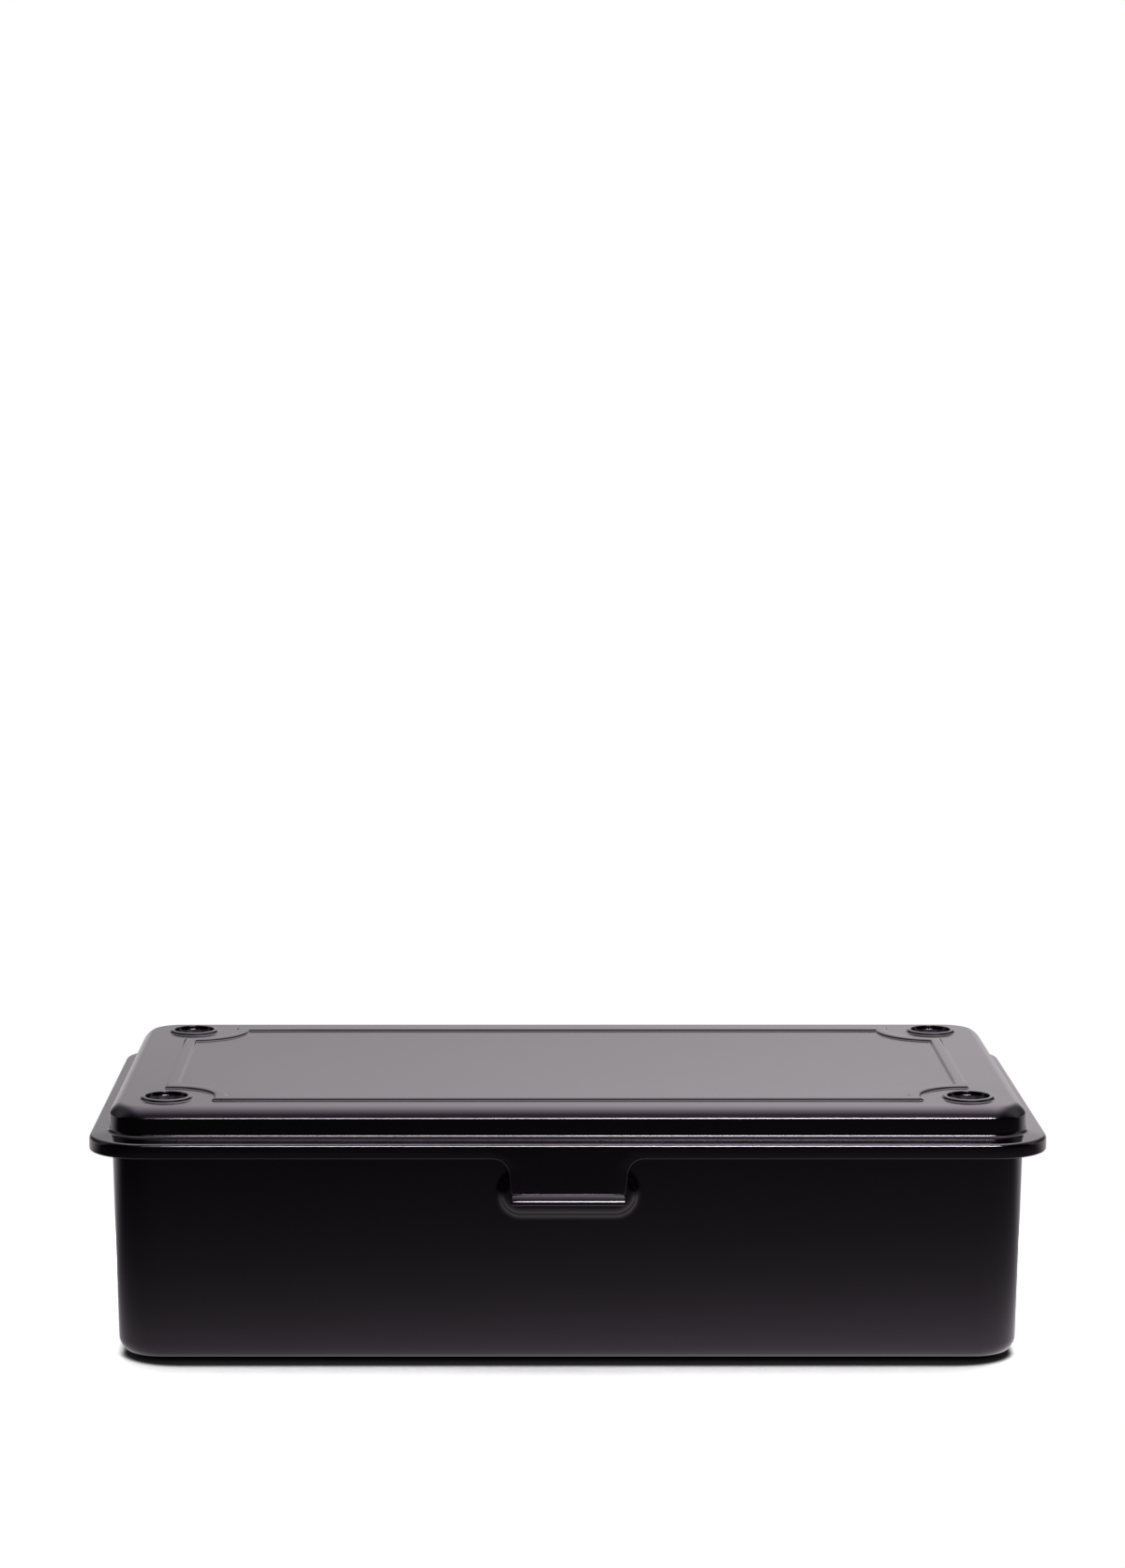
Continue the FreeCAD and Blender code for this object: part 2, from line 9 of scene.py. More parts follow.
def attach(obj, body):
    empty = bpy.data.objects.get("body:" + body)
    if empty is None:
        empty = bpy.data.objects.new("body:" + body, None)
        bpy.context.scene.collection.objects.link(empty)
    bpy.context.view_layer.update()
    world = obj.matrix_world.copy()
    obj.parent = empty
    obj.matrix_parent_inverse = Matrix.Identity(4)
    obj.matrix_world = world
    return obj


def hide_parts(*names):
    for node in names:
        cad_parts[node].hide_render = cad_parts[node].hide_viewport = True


# Looks of the pressed-steel box: smooth sheet-metal meshes, paint, floor, lamps and camera.
# Shapes are in millimetres in the part's own frame, with X right, Y back and Z up.
# Lamps, floor and camera are in metres.

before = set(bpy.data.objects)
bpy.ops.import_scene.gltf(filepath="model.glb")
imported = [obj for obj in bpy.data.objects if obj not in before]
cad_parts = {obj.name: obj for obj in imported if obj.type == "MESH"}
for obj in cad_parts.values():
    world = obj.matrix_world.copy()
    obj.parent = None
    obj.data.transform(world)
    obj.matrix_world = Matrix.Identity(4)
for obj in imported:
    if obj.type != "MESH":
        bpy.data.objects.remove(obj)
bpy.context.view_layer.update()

MM = 0.001

# Lid pressing: main sizes as in the part's source, with finer edges as (tilt at the end, radius)
SHEET = 0.6
LID_HALF_X = 102.0
LID_HALF_Y = 54.5
PANEL_Z = 55.5
SKIRT_CORNER = 12.5
SKIRT_TURNS = [(60.0, 0.7), (90.0, 1.2)]
SKIRT_Z = 45.5
SHELF_INNER_Z = 49.37
SHELF_OUTER_Z = 48.6
SHELF_FILLET = 0.9
PLATEAU_INSET = 4.3
PLATEAU_CORNER = 8.5
PLATEAU_TURNS = [(30.0, 1.6), (60.0, 5.1), (90.0, 0.95)]

# Raised border: notched rectangle, and its section as (distance from the middle, height)
BORDER_X = 85.6
BORDER_Y = 40.3
NOTCH_RADIUS = 11.6
BORDER_SECTION = [(0.35, 0.497), (0.7, 0.49), (0.9, 0.478), (1.02, 0.455), (1.12, 0.4), (1.2, 0.31),
                  (1.28, 0.2), (1.36, 0.1), (1.44, 0.035), (1.56, 0.008), (1.75, 0.0)]

# Stacking cups: sections of the upper and the under side as (radius, height above that side)
CUP_X = 85.74
CUP_Y = 38.74
CUP_TOP = [(6.2, 0.0), (5.95, 0.005), (5.8, 0.015), (5.7, 0.04), (5.62, 0.09), (5.55, 0.17),
           (5.48, 0.28), (5.41, 0.39), (5.33, 0.49), (5.23, 0.555), (5.1, 0.59), (4.95, 0.6),
           (4.77, 0.6), (4.68, 0.585), (4.62, 0.55), (4.58, 0.48), (4.53, 0.27), (4.48, 0.05),
           (4.437, -0.152), (4.426, -0.195), (4.41, -0.236), (4.391, -0.275), (4.368, -0.313),
           (4.342, -0.348), (3.6, -1.227), (3.2, -1.62), (2.7, -2.02), (2.1, -2.38),
           (1.4, -2.62), (0.8, -2.71), (0.4, -2.74)]
CUP_UNDER = [(6.3, 0.0), (5.2, 0.0), (5.0, -0.02), (4.85, -0.09), (4.675, -0.28), (4.06, -1.01),
             (3.65, -1.42), (3.1, -1.87), (2.4, -2.3), (1.5, -2.6), (0.8, -2.71), (0.4, -2.74)]
CUP_STEPS = 48

# Body tray, with the sections of its pad and feet as (distance out or radius, height)
BODY_HALF_X = 97.3
BODY_HALF_Y = 50.3
BODY_CORNER = 10.0
BODY_DRAFT_DEG = 1.2
BOTTOM_EDGE = 3.5
BASE_Z = 0.7
FLANGE_Z = 48.3
FLANGE_BEND = 0.8
MOUTH_EDGE = 1.1
RIM_HALF_X = 100.5
RIM_HALF_Y = 53.5
RIM_CORNER = 11.5
RIM_EDGE = 1.2
RIM_Z = 46.4
WALL_TOP_LEVELS = [45.0, 46.2]
PAD_HALF_X = 70.0
PAD_HALF_Y = 26.0
PAD_CORNER = 10.0
PAD_MARKS = [-20.0, 20.0]
PAD_SECTION = [(1.6, 0.7), (1.15, 0.66), (0.85, 0.55), (0.45, 0.35), (0.05, 0.15), (-0.25, 0.04),
               (-0.7, 0.0)]
FOOT_SECTION = [(4.7, 0.7), (4.2, 0.66), (3.8, 0.54), (3.25, 0.35), (2.7, 0.16), (2.3, 0.04),
                (1.8, 0.0), (0.9, 0.0)]

# Boss on the front of the body
BOSS_HALF_X = 14.8
BOSS_Z_LOW = 32.3
BOSS_Z_HIGH = 42.3
BOSS_CORNER = 4.9
BOSS_HEIGHT = 1.6
BOSS_SLOPE = 1.2
BOSS_FACE_EDGE = 2.2
BOSS_FOOT_EDGE = 1.6
BOSS_MARGIN = 1.3
BOSS_STEP = 0.26

# Tongue, its lip and catch
TONGUE_TOP_Z = 47.6
TONGUE_HALF = 12.5
TONGUE_FILLET = 3.5
SLOT_GAP = 0.05
LIP_FOLD_Z = 38.1
LIP_FOLD_RADIUS = 0.1
LIP_TOP_RADIUS = 7.2
LIP_CROWN_RADIUS = 4.2
LIP_NOSE_RADIUS = 1.7
LIP_HEM_RADIUS = 0.55
LIP_TOP_TILT = 37.0
LIP_CROWN_TILT = 41.0
LIP_NOSE_TILT = 56.0
LIP_HEM_TILT = 75.0
LIP_RETURN = 0.6
LIP_HALF = 12.1
LIP_NOTCH = 0.6
LIP_NOTCH_REACH = 0.9
BLADE_END = 1.2
CATCH_HALF = 8.0
CATCH_Z = 43.3
CATCH_RADIUS = 0.7
KEEPER_HALF = 9.5
KEEPER_Z = 44.3

# Rear hinge tabs of the lid
HINGE_X = 58.0
TAB_HALF = 8.0
PIN_Y = 52.0953
PIN_Z = 43.4
TAB_EYE_RADIUS = 1.6
TAB_BEND_RADIUS = 1.0
TAB_ROLL = 300.0

# Fineness of the meshes
CORNER_STEPS = 14
SIDE_STEPS = 10
EDGE_STEPS = 8
STRIP_COLUMNS = 8
NOTCH_STEPS = 24
CATCH_STEPS = 24
TAB_STEPS = (1, 5, 4, 36)
LIP_STEPS = (8, 6, 6, 8, 18)
END_TURNS = (30, 60, 80)
GUARD = 0.6
FLAT_GUARD = 0.2
SHARP_DEG = 40.0
MERGE = 1e-6

DRAFT = math.tan(math.radians(BODY_DRAFT_DEG))
EDGE_RADIUS = SHEET / 2
SLOT_HALF = TONGUE_HALF + TONGUE_FILLET


def cos_deg(angle):
    return math.cos(math.radians(angle))


def sin_deg(angle):
    return math.sin(math.radians(angle))


def spread(first, last, steps):
    """Evenly spaced values, both ends included."""
    return [first + (last - first) * i / steps for i in range(steps + 1)]


def ring(half_x, half_y, radius, z, marks):
    """One level of a pressing: a rounded rectangle from the front left, with marks along its front."""
    flat_x = half_x - radius
    flat_y = half_y - radius
    front = spread(-flat_x, marks[0], SIDE_STEPS)[:-1] + marks
    front += spread(marks[-1], flat_x, SIDE_STEPS)[1:]
    sides = [
        [(x, -half_y) for x in front],
        [(half_x, y) for y in spread(-flat_y, flat_y, SIDE_STEPS)],
        [(x, half_y) for x in spread(flat_x, -flat_x, 2 * SIDE_STEPS)],
        [(-half_x, y) for y in spread(flat_y, -flat_y, SIDE_STEPS)],
    ]
    centres = [(flat_x, -flat_y), (flat_x, flat_y), (-flat_x, flat_y), (-flat_x, -flat_y)]
    points = []
    for side, centre, start in zip(sides, centres, (-90, 0, 90, 180)):
        points.extend(side)
        for angle in spread(start, start + 90, CORNER_STEPS)[1:-1]:
            points.append((centre[0] + radius * cos_deg(angle), centre[1] + radius * sin_deg(angle)))
    return [(x, y, z) for x, y in points]


def circle(x, y, radius, steps):
    """Plan points of a circle."""
    angles = [360 * i / steps for i in range(steps)]
    return [(x + radius * cos_deg(angle), y + radius * sin_deg(angle)) for angle in angles]


def section_arc(inset, z, radius, start, end, steps):
    """Section points (inset, height) on an arc, where angle 0 points outwards and 90 up."""
    return [(inset - radius * cos_deg(a), z + radius * sin_deg(a)) for a in spread(start, end, steps)]


class Shell:
    """Points and faces of one piece, in millimetres."""

    def __init__(self):
        self.points = []
        self.faces = []

    def add(self, points):
        """Takes in a row of points and returns their numbers."""
        first = len(self.points)
        self.points.extend(points)
        return list(range(first, len(self.points)))

    def bridge(self, rows, skip=()):
        """Quads between neighbouring closed rows, except in the skipped columns."""
        for near, far in zip(rows, rows[1:]):
            for i in range(len(near)):
                j = (i + 1) % len(near)
                if i not in skip:
                    self.faces.append((near[i], near[j], far[j], far[i]))

    def panel(self, outline, loops):
        """Fills a closed row of points with triangles that follow loops of (plan points, height)."""
        numbers = list(outline)
        plan = [Vector(self.points[i][:2]) for i in outline]
        edges = [(i, (i + 1) % len(plan)) for i in range(len(plan))]
        for loop, z in loops:
            first = len(plan)
            plan.extend(Vector(p) for p in loop)
            numbers.extend(self.add([(x, y, z) for x, y in loop]))
            edges.extend((first + i, first + (i + 1) % len(loop)) for i in range(len(loop)))
        made = delaunay_2d_cdt(plan, edges, [], 1, 1e-7)
        for face in made[2]:
            self.faces.append(tuple(numbers[made[3][i][0]] for i in face))

    def piece(self, name, material):
        """Smooth Blender object made of the points and faces."""
        mesh = bpy.data.meshes.new(name)
        mesh.from_pydata([(x * MM, y * MM, z * MM) for x, y, z in self.points], [], self.faces)
        shape = bmesh.new()
        shape.from_mesh(mesh)
        bmesh.ops.remove_doubles(shape, verts=shape.verts, dist=MERGE)
        bmesh.ops.recalc_face_normals(shape, faces=shape.faces)
        for face in shape.faces:
            face.smooth = True
        for edge in shape.edges:
            edge.smooth = edge.calc_face_angle(0) < math.radians(SHARP_DEG)
        shape.to_mesh(mesh)
        shape.free()
        mesh.materials.append(material)
        made = bpy.data.objects.new(name, mesh)
        bpy.context.scene.collection.objects.link(made)
        return made


def strip_place(y, z, heading, runs):
    """Function that takes a flat strip's point (x, s, n) to its place after bends of (length, turn)."""

    def place(x, s, n):
        at_y, at_z, angle = y, z, math.radians(heading)
        for number, (length, turn) in enumerate(runs):
            part = s if number == len(runs) - 1 else min(s, length)
            half = math.radians(turn) * part / length / 2
            chord = part * math.sin(half) / half if half else part
            at_y += chord * math.cos(angle + half)
            at_z += chord * math.sin(angle + half)
            angle += 2 * half
            s -= part
            if s <= 0:
                break
        return (x, at_y + n * math.sin(angle), at_z - n * math.cos(angle))

    return place


def strip_row(place, middle, half, s, side=(1, 0), bulge=EDGE_RADIUS, level=SHEET / 2):
    """Closed row of points round a strip: front, rounded right edge, back, rounded left edge."""
    across = spread(-half, half, STRIP_COLUMNS)
    edge = []
    for turn in spread(90, -90, EDGE_STEPS)[1:-1]:
        out = bulge * cos_deg(turn)
        edge.append((half + out * side[0], s + out * side[1], level * sin_deg(turn)))
    row = [place(middle + x, s, level) for x in across]
    row += [place(middle + x, at, n) for x, at, n in edge]
    row += [place(middle + x, s, -level) for x in reversed(across)]
    row += [place(middle - x, at, n) for x, at, n in reversed(edge)]
    return row


def add_strip(shell, rows):
    """Closed strip through rows of points, with its ends capped."""
    numbered = [shell.add(row) for row in rows]
    shell.bridge(numbered)
    shell.faces.append(tuple(numbered[0]))
    shell.faces.append(tuple(numbered[-1]))


def rounded_end(place, middle, half, s):
    """Rows that round off the free end of a strip."""
    rows = []
    for turn in END_TURNS:
        rows.append(strip_row(place, middle, half, s + EDGE_RADIUS * sin_deg(turn),
                              level=SHEET / 2 * cos_deg(turn)))
    return rows


def border_loop(out):
    """Plan points of the border, spread outwards, with a notch round each cup."""
    half_x = BORDER_X + out
    half_y = BORDER_Y + out
    radius = NOTCH_RADIUS - out
    long_deg = math.degrees(math.asin((half_y - CUP_Y) / radius))
    short_deg = math.degrees(math.asin((half_x - CUP_X) / radius))
    notch = []
    for angle in spread(180 + long_deg, 90 - short_deg, NOTCH_STEPS):
        notch.append((CUP_X + radius * cos_deg(angle), -CUP_Y + radius * sin_deg(angle)))
    notch[0] = (notch[0][0], -half_y)
    notch[-1] = (half_x, notch[-1][1])
    corners = [notch, [(x, -y) for x, y in reversed(notch)], [(-x, -y) for x, y in notch],
               [(-x, y) for x, y in reversed(notch)]]
    points = []
    for corner, following in zip(corners, corners[1:] + corners[:1]):
        points.extend(corner)
        (x0, y0), (x1, y1) = corner[-1], following[0]
        for share in spread(0, 1, SIDE_STEPS)[1:-1]:
            points.append((x0 + (x1 - x0) * share, y0 + (y1 - y0) * share))
    return points


def round_edge(tilt, turns, shrink, steps):
    """Section of a round edge of several turns that ends upright, as (inset from its wall, drop)."""
    out, z = 0.0, 0.0
    points = []
    for next_tilt, radius in turns:
        centre = (out - radius * sin_deg(tilt), z - radius * cos_deg(tilt))
        arc = section_arc(-centre[0], centre[1], radius - shrink, 90 - tilt, 90 - next_tilt, steps)
        points += arc[1:] if points else arc
        out = centre[0] + radius * sin_deg(next_tilt)
        z = centre[1] + radius * cos_deg(next_tilt)
        tilt = next_tilt
    return [(out + inset, z) for inset, z in points]


def plateau_section(shrink, steps):
    """Section of the plateau's round edge from its panel out to its wall, as (inset, height)."""
    edge = round_edge(0, PLATEAU_TURNS, shrink, steps)
    return [(PLATEAU_INSET + inset, PANEL_Z + z) for inset, z in edge]


def skirt_section(tilt, shrink, steps):
    """Section of the skirt's round edge from the sloping shelf out to the skirt, as (inset, height)."""
    start = round_edge(tilt, SKIRT_TURNS, 0, 1)[0][0]
    top = SHELF_OUTER_Z + start * math.tan(math.radians(tilt))
    return [(inset, top + z) for inset, z in round_edge(tilt, SKIRT_TURNS, shrink, steps)]


def along(point, tilt, distance):
    """Section point at a distance down a flat of a given tilt."""
    return (point[0] - distance * cos_deg(tilt), point[1] - distance * sin_deg(tilt))


def lid_corner(inset):
    """Plan corner radius of the lid at an inset from the skirt."""
    skirt_centre = SKIRT_CORNER
    plateau_centre = PLATEAU_INSET + PLATEAU_CORNER
    foot = PLATEAU_INSET - SHELF_FILLET
    edge = SKIRT_TURNS[-1][1]
    share = min(max((inset - edge) / (foot - edge), 0), 1)
    return skirt_centre + (plateau_centre - skirt_centre) * share - inset


def lid_tab_rows(side):
    """Tab of the rear skirt that slopes in and rolls round the pin."""
    to_pin = Vector((PIN_Y - LID_HALF_Y, PIN_Z - SKIRT_Z))
    slope = math.degrees(math.atan2(to_pin.y, to_pin.x) + math.asin(TAB_EYE_RADIUS / to_pin.length))
    turn = slope + 90
    bend_reach = TAB_BEND_RADIUS * math.tan(math.radians(-turn / 2))
    corner_drop = EDGE_RADIUS * math.tan(math.radians(-turn / 2))
    straight = math.sqrt(to_pin.length_squared - TAB_EYE_RADIUS ** 2) - corner_drop - bend_reach
    roll = (TAB_EYE_RADIUS - EDGE_RADIUS) * math.radians(TAB_ROLL)
    runs = [(EDGE_RADIUS - corner_drop - bend_reach, 0.0), (TAB_BEND_RADIUS * math.radians(-turn), turn),
            (straight, 0.0), (roll, -TAB_ROLL)]
    place = strip_place(LID_HALF_Y - EDGE_RADIUS, SKIRT_Z + EDGE_RADIUS, -90, runs)
    half = TAB_HALF - EDGE_RADIUS
    stations = [0.0]
    for (length, bend), steps in zip(runs, TAB_STEPS):
        stations += [stations[-1] + length * (i + 1) / steps for i in range(steps)]
    rows = [strip_row(place, side * HINGE_X, half, s) for s in stations[:-1]]
    return rows + rounded_end(place, side * HINGE_X, half, stations[-1] - EDGE_RADIUS)


def lid_shell(material):
    """Pressed lid: plateau, shelf, skirt with a slot for the tongue, border, cups and two rear tabs."""
    shell = Shell()
    tilt = math.degrees(math.atan2(SHELF_INNER_Z - SHELF_OUTER_Z, PLATEAU_INSET))
    rise = 1 / cos_deg(tilt) - math.tan(math.radians(tilt))
    plateau = plateau_section(0, 8)
    guard = plateau[0][0] + GUARD
    foot = (PLATEAU_INSET - SHELF_FILLET, SHELF_INNER_Z + SHELF_FILLET * rise)
    hollow = section_arc(*foot, SHELF_FILLET, 180, 270 - tilt, 10)
    skirt = skirt_section(tilt, 0, 8)
    slot_top = TONGUE_TOP_Z + SLOT_GAP
    outer = [(guard, PANEL_Z)] + plateau
    outer += [along(hollow[0], 90, -FLAT_GUARD)] + hollow + [along(hollow[-1], tilt, FLAT_GUARD)]
    outer += [along(skirt[0], tilt, -FLAT_GUARD)] + skirt
    hem = [(0, slot_top)]
    hem += section_arc(EDGE_RADIUS, SKIRT_Z + EDGE_RADIUS, EDGE_RADIUS, 0, -180, EDGE_STEPS)
    hem += [(SHEET, slot_top)]
    inner = list(reversed(skirt_section(tilt, SHEET, 4)))
    inner += section_arc(*foot, SHELF_FILLET + SHEET, 270 - tilt, 180, 6)
    inner += reversed(plateau_section(SHEET, 4))
    inner += [(guard, PANEL_Z - SHEET)]

    marks = spread(-SLOT_HALF, SLOT_HALF, 8)
    rows = []
    for inset, z in outer + hem + inner:
        rows.append(shell.add(ring(LID_HALF_X - inset, LID_HALF_Y - inset, lid_corner(inset), z, marks)))
    first = len(outer)
    last = len(outer) + len(hem) - 1
    slot = range(SIDE_STEPS, SIDE_STEPS + len(marks) - 1)
    shell.bridge(rows[:first + 1])
    shell.bridge(rows[first:last + 1], slot)
    shell.bridge(rows[last:])
    for i in slot:
        shell.faces.append((rows[first][i], rows[first][i + 1], rows[last][i + 1], rows[last][i]))
    for i in (slot[0], slot[-1] + 1):
        shell.faces.append(tuple(row[i] for row in rows[first:last + 1]))

    for row, level, cup in ((rows[0], PANEL_Z, CUP_TOP), (rows[-1], PANEL_Z - SHEET, CUP_UNDER)):
        loops = []
        for out, height in BORDER_SECTION:
            loops.append((border_loop(out), level + height))
            loops.append((border_loop(-out), level + height))
        for x in (-CUP_X, CUP_X):
            for y in (-CUP_Y, CUP_Y):
                loops += [(circle(x, y, radius, CUP_STEPS), level + height) for radius, height in cup]
        shell.panel(row, loops)
    for side in (-1, 1):
        add_strip(shell, lid_tab_rows(side))
    return shell.piece("lid_sheet", material)


def boss_height(x, z):
    """How far the front wall stands out at a place: a flat face, a round edge and a hollow foot."""
    reach_x = abs(x) - BOSS_HALF_X + BOSS_CORNER
    reach_z = abs(z - (BOSS_Z_LOW + BOSS_Z_HIGH) / 2) - (BOSS_Z_HIGH - BOSS_Z_LOW) / 2 + BOSS_CORNER
    outside = math.hypot(max(reach_x, 0), max(reach_z, 0)) + min(max(reach_x, reach_z), 0)
    inward = BOSS_CORNER - outside
    slope = math.atan2(BOSS_HEIGHT, BOSS_SLOPE)
    foot_start = -BOSS_FOOT_EDGE * math.tan(slope / 2)
    face_start = BOSS_SLOPE + BOSS_FACE_EDGE * math.tan(slope / 2)
    if inward <= foot_start:
        return 0.0
    if inward >= face_start:
        return BOSS_HEIGHT
    foot_end = foot_start + BOSS_FOOT_EDGE * math.sin(slope)
    if inward <= foot_end:
        return BOSS_FOOT_EDGE - math.sqrt(BOSS_FOOT_EDGE ** 2 - (inward - foot_start) ** 2)
    edge_end = face_start - BOSS_FACE_EDGE * math.sin(slope)
    if inward >= edge_end:
        drop = BOSS_FACE_EDGE - math.sqrt(BOSS_FACE_EDGE ** 2 - (face_start - inward) ** 2)
        return BOSS_HEIGHT - drop
    return inward * BOSS_HEIGHT / BOSS_SLOPE


def boss_marks():
    """Places across the front of the body, close together on the boss's round ends."""
    start = BOSS_HALF_X - BOSS_CORNER - BOSS_MARGIN
    end = spread(start, BOSS_HALF_X + BOSS_MARGIN, round((BOSS_CORNER + 2 * BOSS_MARGIN) / BOSS_STEP))
    right = spread(0, start, 4)[1:-1] + end + [BOSS_HALF_X + 2 * BOSS_MARGIN]
    return [-x for x in reversed(right)] + [0.0] + right


def boss_levels():
    """Heights up the front of the body, close together over the boss."""
    low = BOSS_Z_LOW - BOSS_MARGIN
    high = BOSS_Z_HIGH + BOSS_MARGIN
    return spread(low, high, round((high - low) / BOSS_STEP))


def wall_inset(z, shrink):
    """Inset of the drafted body wall from the rim's edge."""
    return RIM_HALF_X - BODY_HALF_X + DRAFT * (FLANGE_Z - z) + shrink


def wall_rows(shrink):
    """Section of the body's wall from the base up to its flange, as (inset, height, plan corner)."""
    radius = BOTTOM_EDGE - shrink
    corner = BODY_CORNER - shrink
    centre_z = BASE_Z + BOTTOM_EDGE
    wall = wall_inset(centre_z, shrink)
    centre = wall + radius / cos_deg(BODY_DRAFT_DEG)
    rows = [(centre + GUARD, BASE_Z + shrink, corner - radius - GUARD)]
    for inset, z in section_arc(centre, centre_z, radius, -90, -BODY_DRAFT_DEG, 14):
        rows.append((inset, z, corner - max(inset - wall, 0)))
    levels = spread(rows[-1][1], boss_levels()[0], 8)[1:-1] + boss_levels() + WALL_TOP_LEVELS
    return rows + [(wall_inset(z, shrink), z, corner) for z in levels]


def rim_corner(inset):
    """Plan corner radius of the body's flange and rim at an inset from the rim's edge."""
    wall_centre = RIM_HALF_X - BODY_HALF_X + BODY_CORNER
    share = min(max((inset - RIM_EDGE) / RIM_EDGE, 0), 1)
    return RIM_CORNER + (wall_centre - RIM_CORNER) * share - inset


def rim_rows():
    """Section of the flange and turned-down rim, from the outer wall round to the inner wall."""
    bend_z = FLANGE_Z - SHEET - FLANGE_BEND
    bend = wall_inset(bend_z, 0) - FLANGE_BEND / cos_deg(BODY_DRAFT_DEG)
    mouth_z = FLANGE_Z - MOUTH_EDGE
    mouth = wall_inset(mouth_z, SHEET) - MOUTH_EDGE / cos_deg(BODY_DRAFT_DEG)
    edge_z = FLANGE_Z - RIM_EDGE
    points = section_arc(bend, bend_z, FLANGE_BEND, 180 - BODY_DRAFT_DEG, 90, 6)
    points += section_arc(RIM_EDGE, edge_z, RIM_EDGE - SHEET, 90, 0, 5)
    points += section_arc(EDGE_RADIUS, RIM_Z + EDGE_RADIUS, EDGE_RADIUS, 180, 360, EDGE_STEPS)
    points += section_arc(RIM_EDGE, edge_z, RIM_EDGE, 0, 90, 8)
    points += section_arc(mouth, mouth_z, MOUTH_EDGE, 90, 180 - BODY_DRAFT_DEG, 8)
    return [(inset, z, rim_corner(inset)) for inset, z in points]


def body_tray(material):
    """Deep-drawn tray: base with pad and feet, drafted wall with a boss, flange, rim and keeper."""
    shell = Shell()
    marks = boss_marks()
    outer = wall_rows(0)
    rim = rim_rows()
    inner = list(reversed(wall_rows(SHEET)))
    rows = []
    for inset, z, corner in outer + rim + inner:
        points = ring(RIM_HALF_X - inset, RIM_HALF_Y - inset, corner, z, marks)
        for i in range(SIDE_STEPS, SIDE_STEPS + len(marks)):
            x, y, z = points[i]
            points[i] = (x, y - boss_height(x, z), z)
        rows.append(shell.add(points))
    shell.bridge(rows)
    for row, lift in ((rows[0], 0), (rows[-1], SHEET)):
        loops = []
        for out, z in PAD_SECTION:
            pad = ring(PAD_HALF_X + out, PAD_HALF_Y + out, PAD_CORNER + out, z, PAD_MARKS)
            loops.append(([point[:2] for point in pad], z + lift))
        for x in (-CUP_X, CUP_X):
            for y in (-CUP_Y, CUP_Y):
                loops += [(circle(x, y, radius, CUP_STEPS), z + lift) for radius, z in FOOT_SECTION]
        shell.panel(row, loops)

    top = RIM_Z + EDGE_RADIUS
    place = strip_place(-RIM_HALF_Y + EDGE_RADIUS, top, -90, [(top - KEEPER_Z, 0.0)])
    half = KEEPER_HALF - EDGE_RADIUS
    drop = top - KEEPER_Z - EDGE_RADIUS
    keeper = [strip_row(place, 0, half, s) for s in (0, drop / 2, drop)]
    add_strip(shell, keeper + rounded_end(place, 0, half, drop))
    return shell.piece("body_sheet", material)


def tongue_rows():
    """Rows of the tongue: root in the skirt, fillets, blade, fold, crowned lip and hem."""
    blade = TONGUE_TOP_Z - LIP_FOLD_Z
    runs = [(blade, 0.0)]
    tilt = 90
    for next_tilt, radius in ((LIP_TOP_TILT, -LIP_FOLD_RADIUS), (LIP_CROWN_TILT, LIP_TOP_RADIUS),
                              (LIP_NOSE_TILT, LIP_CROWN_RADIUS), (LIP_HEM_TILT, LIP_NOSE_RADIUS),
                              (LIP_HEM_TILT + 180, LIP_HEM_RADIUS)):
        turn = next_tilt - tilt
        runs.append(((radius - EDGE_RADIUS) * math.radians(turn), turn))
        tilt = next_tilt
    runs.append((LIP_RETURN, 0.0))
    place = strip_place(-LID_HALF_Y + EDGE_RADIUS, TONGUE_TOP_Z, -90, runs)
    rows = [strip_row(place, 0, SLOT_HALF - SLOT_GAP, 0, bulge=0)]
    centre = TONGUE_TOP_Z - SKIRT_Z + TONGUE_FILLET
    reach = TONGUE_FILLET + EDGE_RADIUS
    for angle in spread(90, 0, 14):
        half = min(SLOT_HALF - reach * cos_deg(angle), SLOT_HALF - SLOT_GAP)
        side = (cos_deg(angle), sin_deg(angle))
        rows.append(strip_row(place, 0, half, centre - reach * sin_deg(angle), side))

    lip = blade + runs[1][0]
    end = sum(length for length, turn in runs) - EDGE_RADIUS
    stations = spread(centre, blade - BLADE_END, 3)[1:]
    stations += spread(blade - BLADE_END, blade, 5)[1:]
    for (length, turn), steps in zip(runs[1:-1], LIP_STEPS):
        first = stations[-1]
        stations += spread(first, first + length, steps)[1:]
    stations += spread(stations[-1], end, 2)[1:]
    for s in stations:
        wide = TONGUE_HALF + (LIP_HALF - TONGUE_HALF) * min((s - centre) / (lip - centre), 1)
        away = min(abs(s - lip) / LIP_NOTCH_REACH, 1)
        half = wide - LIP_NOTCH * (1 - math.sqrt(1 - (1 - away) ** 2)) - EDGE_RADIUS
        rows.append(strip_row(place, 0, half, s))
    return rows + rounded_end(place, 0, LIP_HALF - EDGE_RADIUS, end)


def catch_rows():
    """Rows of the catch: the back half of a round bead with rounded ends, behind the tongue."""
    rows = []
    flat = CATCH_HALF - CATCH_RADIUS
    front = -LID_HALF_Y + EDGE_RADIUS
    places = [(-flat - CATCH_RADIUS * cos_deg(a), CATCH_RADIUS * sin_deg(a)) for a in spread(8, 90, 6)]
    places += [(-x, radius) for x, radius in reversed(places)]
    for x, radius in places:
        row = circle(-LID_HALF_Y + SHEET, CATCH_Z, radius, CATCH_STEPS)
        rows.append([(x, max(y, front), z) for y, z in row])
    return rows


def latch_tongue(material):
    """Sprung tongue with its catch bead."""
    shell = Shell()
    add_strip(shell, tongue_rows())
    add_strip(shell, catch_rows())
    return shell.piece("tongue_sheet", material)


